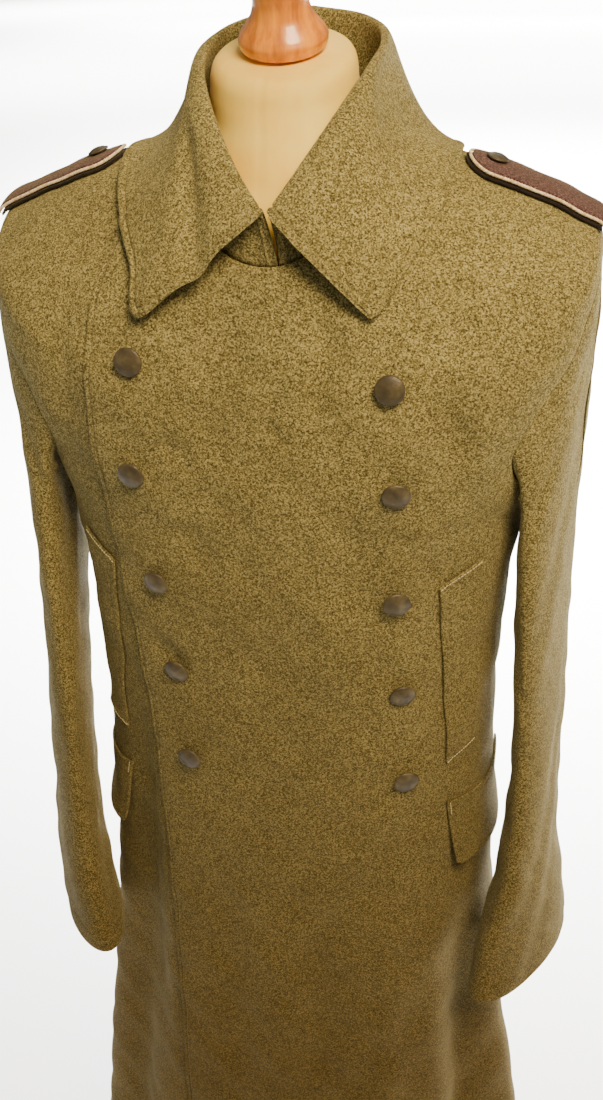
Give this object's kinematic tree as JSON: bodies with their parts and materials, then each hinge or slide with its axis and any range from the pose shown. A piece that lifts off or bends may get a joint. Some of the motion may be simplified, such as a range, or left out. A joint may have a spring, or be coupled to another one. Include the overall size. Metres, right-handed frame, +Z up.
{
  "type": "military greatcoat on a dress form",
  "caption": "Long double-breasted wool greatcoat with a wide collar, shoulder straps and hip flaps, on a limbless dress form with a pole and a round base.",
  "frame": {"origin": "on the floor, in the middle of the part's bounding box, under the pole", "axes": "+Z up, the coat's front looks along -Y, the wearer's left is +X"},
  "size_m": [0.5275, 0.3787, 1.5409],
  "materials": {
    "wool_melton": "matt, felted, marled",
    "strap_wool": "matt, felted",
    "piping_cord": "matt twisted cord",
    "button_paint": "worn satin, pebbled",
    "form_jersey": "smooth knit",
    "varnished_wood": "gloss varnish"
  },
  "bodies": {
    "root": {"front_left": "wool_melton", "front_right": "wool_melton", "back": "wool_melton", "sleeve_left": "wool_melton", "sleeve_right": "wool_melton", "collar": "wool_melton", "pocket_welt_left": "wool_melton", "pocket_welt_right": "wool_melton", "pocket_flap_left": "wool_melton", "pocket_flap_right": "wool_melton", "shoulder_strap_left": "strap_wool", "strap_underlay_left": "strap_wool", "strap_piping_left": "piping_cord", "strap_button_left": "button_paint", "button_left_1": "button_paint", "button_left_2": "button_paint", "button_left_3": "button_paint", "button_left_4": "button_paint", "button_left_5": "button_paint", "shoulder_strap_right": "strap_wool", "strap_underlay_right": "strap_wool", "strap_piping_right": "piping_cord", "strap_button_right": "button_paint", "button_right_1": "button_paint", "button_right_2": "button_paint", "button_right_3": "button_paint", "button_right_4": "button_paint", "button_right_5": "button_paint", "form_body": "form_jersey", "neck_cap": "varnished_wood", "stand_pole": "varnished_wood", "stand_base": "varnished_wood"}
  },
  "joints": []
}
